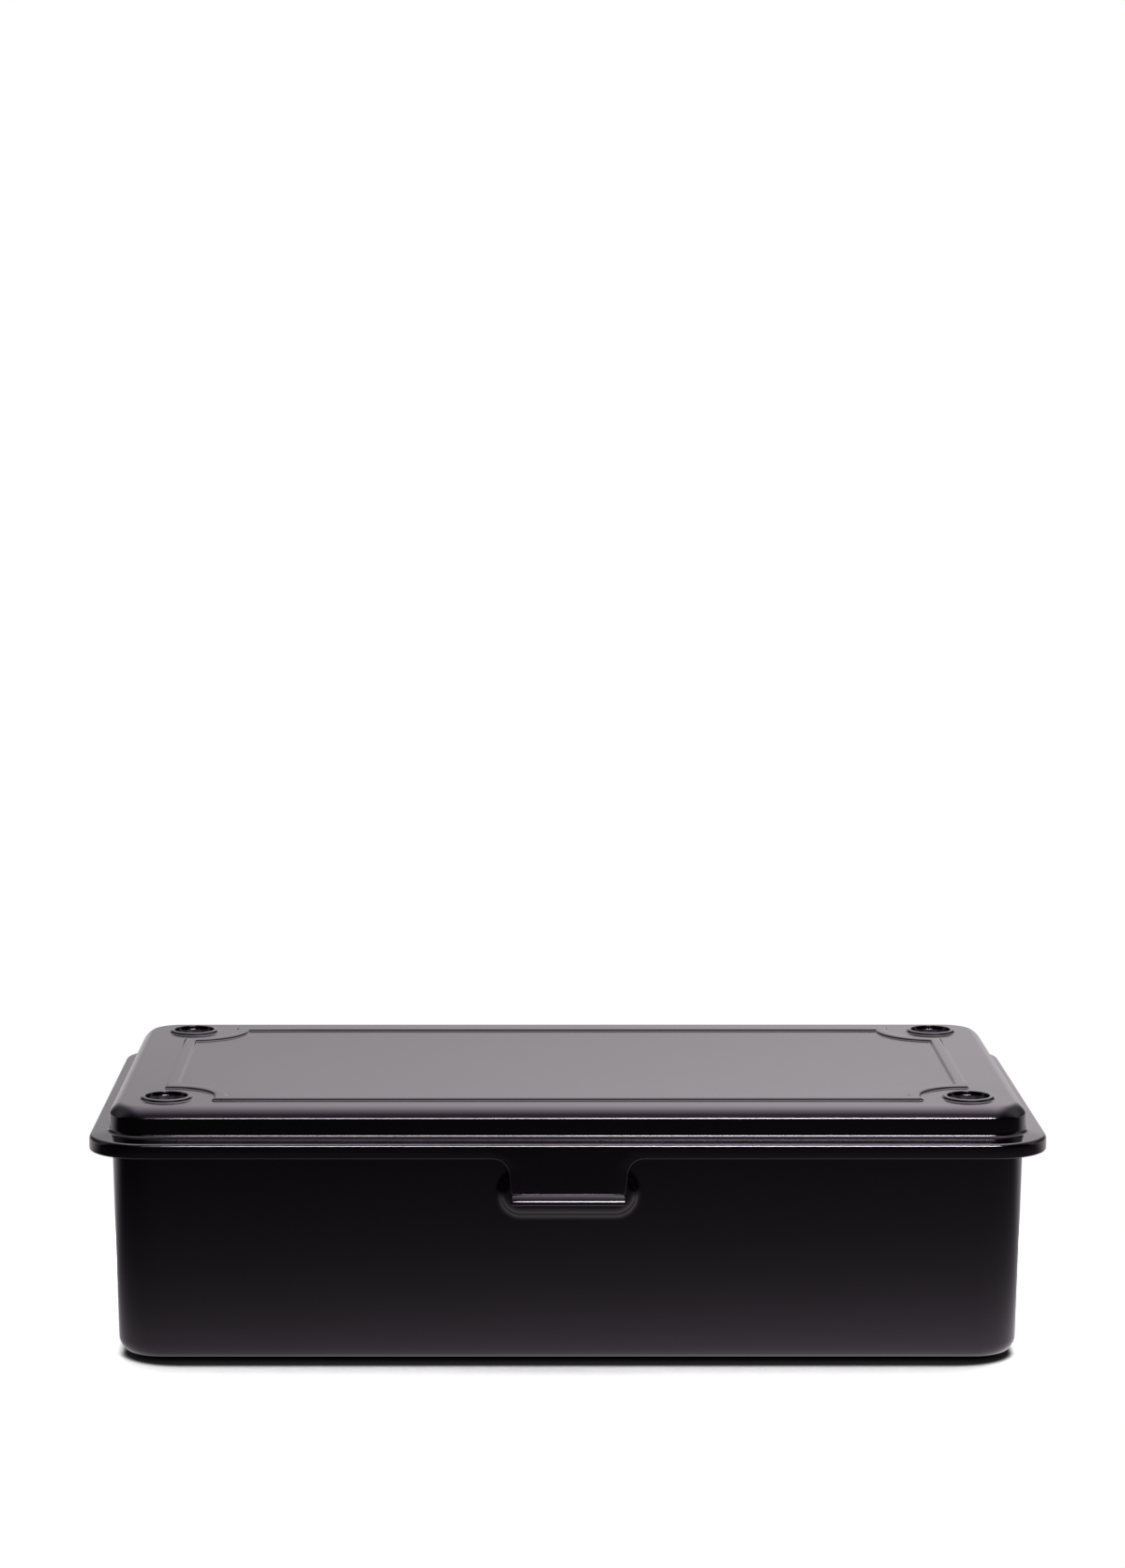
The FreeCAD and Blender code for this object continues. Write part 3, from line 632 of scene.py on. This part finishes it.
# Finishes: colours, ranges of roughness, noise scales, and bump heights in metres
PAINT_COLOURS = ((0.0010, 0.0008, 0.0012), (0.0019, 0.0016, 0.0022))
PAINT_ROUGHNESS = (0.11, 0.16)
PAINT_IOR = 1.5
PAINT_TINT = (1.0, 0.88, 1.04)
PAINT_MOTTLE = 60.0
PAINT_GRAIN = 2500.0
PAINT_WAVES = 26.0
PAINT_SHEEN = 140.0
WAVE_HEIGHT = 0.00003
GRAIN_HEIGHT = 0.0000006
STEEL_COLOURS = ((0.46, 0.45, 0.43), (0.62, 0.61, 0.58))
STEEL_ROUGHNESS = (0.24, 0.42)
STEEL_STRETCH = (1.0, 14.0, 14.0)
STEEL_LINES = 260.0
STEEL_MOTTLE = 900.0
LINE_HEIGHT = 0.000012


class Nodes:
    """Shorthand for building a node tree."""

    def __init__(self, tree):
        self.tree = tree

    def put(self, socket, value):
        """Sets a socket, or links it where the value is a socket."""
        if isinstance(value, bpy.types.NodeSocket):
            self.tree.links.new(value, socket)
        else:
            socket.default_value = value

    def new(self, kind, **inputs):
        """New node with some of its inputs put."""
        node = self.tree.nodes.new(kind)
        for name, value in inputs.items():
            self.put(node.inputs[name.replace("_", " ")], value)
        return node

    def noise(self, place, scale, detail):
        """Noise value over the surface, from 0 to 1."""
        node = self.new("ShaderNodeTexNoise", Vector=place, Scale=scale, Detail=detail)
        return node.outputs["Fac"]

    def between(self, factor, low, high):
        """Value that goes from low to high with the factor."""
        node = self.new("ShaderNodeMapRange", Value=factor)
        node.inputs["To Min"].default_value = low
        node.inputs["To Max"].default_value = high
        return node.outputs["Result"]

    def colours(self, factor, low, high):
        """Colour that goes from low to high with the factor."""
        node = self.tree.nodes.new("ShaderNodeMix")
        node.data_type = "RGBA"
        self.tree.links.new(factor, node.inputs["Factor"])
        for socket, value in (("A", low), ("B", high)):
            target = [s for s in node.inputs if s.name == socket and s.type == "RGBA"][0]
            if isinstance(value, bpy.types.NodeSocket):
                self.tree.links.new(value, target)
            else:
                target.default_value = (*value, 1.0)
        return [s for s in node.outputs if s.type == "RGBA"][0]

    def math(self, kind, first, second=0.0):
        """Sum, product or other operation on two values."""
        node = self.tree.nodes.new("ShaderNodeMath")
        node.operation = kind
        for socket, value in zip(node.inputs, (first, second)):
            self.put(socket, value)
        return node.outputs["Value"]

    def ease(self, value, start, end):
        """Value that eases from 0 at the start to 1 at the end."""
        node = self.new("ShaderNodeMapRange", Value=value)
        node.interpolation_type = "SMOOTHSTEP"
        node.inputs["From Min"].default_value = start
        node.inputs["From Max"].default_value = end
        return node.outputs["Result"]

    def blend(self, factor, first, second):
        """Shader that goes from the first to the second with the factor."""
        node = self.tree.nodes.new("ShaderNodeMixShader")
        for socket, value in zip(node.inputs, (factor, first, second)):
            self.put(socket, value)
        return node.outputs["Shader"]

    def bump(self, height, distance, below=None):
        """Normal of a surface raised by height times a distance in metres."""
        node = self.new("ShaderNodeBump", Height=height, Distance=distance, Strength=1.0)
        if below is not None:
            self.tree.links.new(below, node.inputs["Normal"])
        return node.outputs["Normal"]


def new_material(name):
    """Material with an empty Principled shader, its node helper and the place on the object."""
    material = bpy.data.materials.new(name)
    material.use_nodes = True
    nodes = Nodes(material.node_tree)
    place = nodes.new("ShaderNodeTexCoord").outputs["Object"]
    return material, nodes, material.node_tree.nodes["Principled BSDF"], place


def black_paint():
    """Baked satin black paint: fine grain, faint mottle and the slow waves of pressed sheet."""
    material, nodes, shader, place = new_material("black_paint")
    link = material.node_tree.links.new
    mottle = nodes.noise(place, PAINT_MOTTLE, 4.0)
    grain = nodes.noise(place, PAINT_GRAIN, 2.0)
    waves = nodes.noise(place, PAINT_WAVES, 1.0)
    link(nodes.colours(mottle, *PAINT_COLOURS), shader.inputs["Base Color"])
    sheen = nodes.noise(place, PAINT_SHEEN, 5.0)
    link(nodes.between(sheen, *PAINT_ROUGHNESS), shader.inputs["Roughness"])
    slow = nodes.bump(waves, WAVE_HEIGHT)
    link(nodes.bump(grain, GRAIN_HEIGHT, slow), shader.inputs["Normal"])
    shader.inputs["IOR"].default_value = PAINT_IOR
    shader.inputs["Specular Tint"].default_value = (*PAINT_TINT, 1.0)
    return material


def bright_steel():
    """Plain zinc-plated steel with a dull mottle and fine drawing lines."""
    material, nodes, shader, place = new_material("bright_steel")
    link = material.node_tree.links.new
    lines = nodes.new("ShaderNodeMapping", Vector=place, Scale=STEEL_STRETCH).outputs["Vector"]
    drawn = nodes.noise(lines, STEEL_LINES, 3.0)
    mottle = nodes.noise(place, STEEL_MOTTLE, 3.0)
    link(nodes.colours(mottle, *STEEL_COLOURS), shader.inputs["Base Color"])
    link(nodes.between(drawn, *STEEL_ROUGHNESS), shader.inputs["Roughness"])
    link(nodes.bump(drawn, LINE_HEIGHT), shader.inputs["Normal"])
    shader.inputs["Metallic"].default_value = 1.0
    return material


def dress_box():
    """Puts the meshes on their bodies and gives every piece its finish."""
    paint = black_paint()
    steel = bright_steel()
    pieces = [(body_tray(paint), "body", "body_tray"), (lid_shell(paint), "lid", "lid_shell"),
              (latch_tongue(paint), "latch", "latch_tongue")]
    for piece, body, node in pieces:
        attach(piece, body)
        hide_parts(node)
    for side in ("left", "right"):
        for name, material in (("hinge_leaf_", paint), ("hinge_pin_", steel), ("hinge_rivets_", steel)):
            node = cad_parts[name + side]
            node.data.materials.clear()
            node.data.materials.append(material)


# Stage, in metres, with the sky's levels as (degrees up from the back, radiance)
FLOOR_HALF = 6.0
FLOOR_COLOUR = (0.8, 0.8, 0.8)
FLOOR_SHOWN = (3.6, 3.6, 3.6)
# Painted contact shadow on the floor for the camera: a dark colour close round the body's base
PAINTED_CONTACT_SHADE = (0.1, 0.1, 0.1)
PAINTED_SHADE_TUCK = 0.0024
# Painted pool of light on the floor, seen only in reflections: bright close to the box and falling off with
# distance, brighter to the right, with painted shade under the box's edge and an even level behind it
PAINTED_GLOW_BEHIND = 0.7
PAINTED_GLOW_NEAR = 1.0
PAINTED_GLOW_REACH = 0.038
PAINTED_GLOW_FALL = 1.5
PAINTED_GLOW_TILT = 2.6
PAINTED_GLOW_TILT_MIDDLE = 0.95
PAINTED_GLOW_TILT_LOW = 0.35
PAINTED_GLOW_TILT_HIGH = 1.25
PAINTED_SHADE_UNDER = (-0.0032, -0.0016)
PAINTED_GLOW_BACK = (-0.02, 0.12)
# Painted contact shadow: where it fades at the box's left and right ends, and the distances over which it
# eases out
PAINTED_SHADE_ENDS = (0.082, 0.096)
PAINTED_SHADE_RANGE = (0.0006, 0.0034)
WHITE_NEAR = 0.0
WHITE_FAR = 0.05
SKY_DIFFUSE = 0.3
SKY_TILT = 1.3
SKY_TILT_LOW = 0.82
SKY_TILT_HIGH = 1.18
SKY_TINT = (1.0, 0.95, 0.985)
SKY_SIDE = 0.15
SKY_SIDE_START = 0.25
SKY_SIDE_END = 0.6
SKY_FULL = 4.0
SKY_LEVELS = [(0, 0.72), (6, 0.76), (11.5, 0.84), (20, 0.95), (31, 1.45), (42, 2.3), (52, 3.0),
              (65, 3.6), (72, 4.0), (79, 3.7), (85, 3.2), (95, 2.2), (101, 1.75), (111, 0.66),
              (121, 0.3), (132, 0.08), (145, 0.03)]
OVERHEAD_PLACE = (0.05, 0.32, 0.94)
OVERHEAD_TARGET = (0, 0, 0.03)
OVERHEAD_SIZE = (0.9, 0.89)
OVERHEAD_RADIANCE = 2.4
KEY_Y = -0.89
KEY_Z = 0.83
KEY_TARGET = (0, 0, 0.05)
KEY_HEIGHT = 0.14
KEYS = (("key_wide", 0.125, 0.65, 36.0), ("key", 0.17, 0.3, 28.0))
CAMERA_PLACE = (-0.01334, -0.8848, 0.2273)
CAMERA_PITCH_DEG = 82.98
CAMERA_YAW_DEG = -0.05
CAMERA_SENSOR = 36.0
CAMERA_LENS = 92.43
CAMERA_SHIFT = 0.0344
CAMERA_END = 50.0


def studio_floor():
    """Pale floor: white to the camera with the box's real shadow plus a painted contact shadow along its
    base; in reflections it glows with a painted pool of light round the box, with painted shade under it,
    brighter to the right and dimmer far in front.
    """
    mesh = bpy.data.meshes.new("floor")
    corners = [(-FLOOR_HALF, -FLOOR_HALF, 0), (FLOOR_HALF, -FLOOR_HALF, 0),
               (FLOOR_HALF, FLOOR_HALF, 0), (-FLOOR_HALF, FLOOR_HALF, 0)]
    mesh.from_pydata(corners, [], [(0, 1, 2, 3)])
    floor = bpy.data.objects.new("floor", mesh)
    bpy.context.scene.collection.objects.link(floor)
    material = bpy.data.materials.new("floor")
    material.use_nodes = True
    material.node_tree.nodes.clear()
    nodes = Nodes(material.node_tree)
    place = nodes.new("ShaderNodeSeparateXYZ", Vector=nodes.new("ShaderNodeTexCoord").outputs["Object"])
    taper = DRAFT * (FLANGE_Z - BASE_Z)
    past = []
    for axis, half in (("X", BODY_HALF_X), ("Y", BODY_HALF_Y)):
        flat = (half - taper - BODY_CORNER) * MM
        past.append(nodes.math("SUBTRACT", nodes.math("ABSOLUTE", place.outputs[axis]), flat))
    outside = [nodes.math("POWER", nodes.math("MAXIMUM", value, 0.0), 2.0) for value in past]
    inside = nodes.math("MINIMUM", nodes.math("MAXIMUM", *past), 0.0)
    reach = nodes.math("ADD", nodes.math("SQRT", nodes.math("ADD", *outside)), inside)
    clear = nodes.math("SUBTRACT", reach, BODY_CORNER * MM)
    # Painted pool of light for reflections: bright next to the box, falling off with distance and tilted
    # brighter to the right
    away = nodes.math("MAXIMUM", clear, 0.0)
    fall = nodes.math("POWER", nodes.math("DIVIDE", away, PAINTED_GLOW_REACH), PAINTED_GLOW_FALL)
    near = nodes.math("DIVIDE", PAINTED_GLOW_NEAR, nodes.math("ADD", fall, 1.0))
    side = nodes.math("ADD", nodes.math("MULTIPLY", place.outputs["X"], PAINTED_GLOW_TILT), PAINTED_GLOW_TILT_MIDDLE)
    side = nodes.math("MINIMUM", nodes.math("MAXIMUM", side, PAINTED_GLOW_TILT_LOW), PAINTED_GLOW_TILT_HIGH)
    near = nodes.math("MULTIPLY", near, side)
    # Painted shade under the box's edge in reflections, and an even level behind the box
    near = nodes.math("MULTIPLY", near, nodes.ease(clear, *PAINTED_SHADE_UNDER))
    behind = nodes.ease(place.outputs["Y"], *PAINTED_GLOW_BACK)
    level = nodes.math("ADD", nodes.math("MULTIPLY", near, nodes.math("SUBTRACT", 1.0, behind)),
                       nodes.math("MULTIPLY", behind, PAINTED_GLOW_BEHIND))
    path = nodes.new("ShaderNodeLightPath")
    lit = nodes.new("ShaderNodeBsdfDiffuse", Color=(*FLOOR_COLOUR, 1.0)).outputs["BSDF"]
    # The floor glows with this painted level for glossy rays alone
    mirrored = nodes.new("ShaderNodeEmission", Color=(*SKY_TINT, 1.0), Strength=level).outputs["Emission"]
    # Painted contact shadow for the camera: dark close round the base, eased out with distance and faded at
    # its left and right ends
    aside = nodes.ease(nodes.math("ABSOLUTE", place.outputs["X"]), *PAINTED_SHADE_ENDS)
    close = nodes.math("ADD", clear, nodes.math("MULTIPLY", aside, PAINTED_SHADE_TUCK))
    painted_shade = nodes.colours(nodes.ease(close, *PAINTED_SHADE_RANGE), PAINTED_CONTACT_SHADE, FLOOR_SHOWN)
    shown = nodes.new("ShaderNodeBsdfDiffuse", Color=painted_shade).outputs["BSDF"]
    white = nodes.new("ShaderNodeEmission", Strength=1.0).outputs["Emission"]
    seen = nodes.blend(nodes.ease(away, WHITE_NEAR, WHITE_FAR), shown, white)
    surface = nodes.blend(path.outputs["Is Glossy Ray"], lit, mirrored)
    surface = nodes.blend(path.outputs["Is Camera Ray"], surface, seen)
    nodes.new("ShaderNodeOutputMaterial", Surface=surface)
    mesh.materials.append(material)


def studio_world():
    """White to the camera, even for soft light, and in reflections bright above and dim in front."""
    world = bpy.data.worlds.new("studio")
    bpy.context.scene.world = world
    world.use_nodes = True
    world.node_tree.nodes.clear()
    nodes = Nodes(world.node_tree)
    way = nodes.new("ShaderNodeSeparateXYZ", Vector=nodes.new("ShaderNodeTexCoord").outputs["Generated"])
    turn = nodes.math("ARCTAN2", way.outputs["Z"], way.outputs["Y"])
    ramp = nodes.new("ShaderNodeValToRGB", Fac=nodes.math("DIVIDE", turn, math.pi))
    stops = ramp.color_ramp.elements
    for number, (degrees, level) in enumerate(SKY_LEVELS):
        stop = stops[number] if number < len(stops) else stops.new(1.0)
        stop.position = degrees / 180
        stop.color = (level / SKY_FULL, level / SKY_FULL, level / SKY_FULL, 1.0)
    side = nodes.math("ADD", nodes.math("MULTIPLY", way.outputs["X"], SKY_TILT), 1.0)
    side = nodes.math("MINIMUM", nodes.math("MAXIMUM", side, SKY_TILT_LOW), SKY_TILT_HIGH)
    edge = nodes.ease(nodes.math("ABSOLUTE", way.outputs["X"]), SKY_SIDE_START, SKY_SIDE_END)
    side = nodes.math("MULTIPLY", side, nodes.between(edge, 1.0, SKY_SIDE))
    mirrored = nodes.math("MULTIPLY", nodes.math("MULTIPLY", ramp.outputs["Color"], SKY_FULL), side)
    path = nodes.new("ShaderNodeLightPath")
    soft = nodes.new("ShaderNodeBackground", Strength=SKY_DIFFUSE)
    back = nodes.new("ShaderNodeBackground", Strength=mirrored)
    white = nodes.new("ShaderNodeBackground", Strength=1.0)
    for sky, tint in ((soft, (1.0, 1.0, 1.0)), (back, SKY_TINT), (white, (1.0, 1.0, 1.0))):
        sky.inputs["Color"].default_value = (*tint, 1.0)
    sky = nodes.blend(path.outputs["Is Glossy Ray"], soft.outputs["Background"], back.outputs["Background"])
    sky = nodes.blend(path.outputs["Is Camera Ray"], sky, white.outputs["Background"])
    nodes.new("ShaderNodeOutputWorld", Surface=sky)


def lamp(name, place, target, width, height, radiance):
    """Rectangular softbox of even radiance that faces a point."""
    light = bpy.data.lights.new(name, "AREA")
    light.shape = "RECTANGLE"
    light.size = width
    light.size_y = height
    light.energy = radiance * 4 * width * height
    made = bpy.data.objects.new(name, light)
    made.location = place
    made.rotation_mode = "QUATERNION"
    made.rotation_quaternion = (Vector(target) - Vector(place)).to_track_quat("-Z", "Y")
    bpy.context.scene.collection.objects.link(made)
    return made


def studio_lamps():
    """Large softbox overhead for soft light and shadow, and a strip high in front for reflections alone."""
    overhead = lamp("overhead", OVERHEAD_PLACE, OVERHEAD_TARGET, *OVERHEAD_SIZE, OVERHEAD_RADIANCE)
    overhead.visible_glossy = False
    for name, x, width, radiance in KEYS:
        key = lamp(name, (x, KEY_Y, KEY_Z), KEY_TARGET, width, KEY_HEIGHT, radiance)
        key.visible_diffuse = False


def photo_camera():
    """Camera at the photograph's place and angle."""
    data = bpy.data.cameras.new("camera")
    data.sensor_width = CAMERA_SENSOR
    data.lens = CAMERA_LENS
    data.shift_x = CAMERA_SHIFT
    data.clip_end = CAMERA_END
    made = bpy.data.objects.new("camera", data)
    made.location = CAMERA_PLACE
    made.rotation_euler = (math.radians(CAMERA_PITCH_DEG), 0.0, math.radians(CAMERA_YAW_DEG))
    bpy.context.scene.collection.objects.link(made)
    bpy.context.scene.camera = made


dress_box()
studio_floor()
studio_world()
studio_lamps()
photo_camera()
bpy.context.scene.view_settings.view_transform = "Standard"
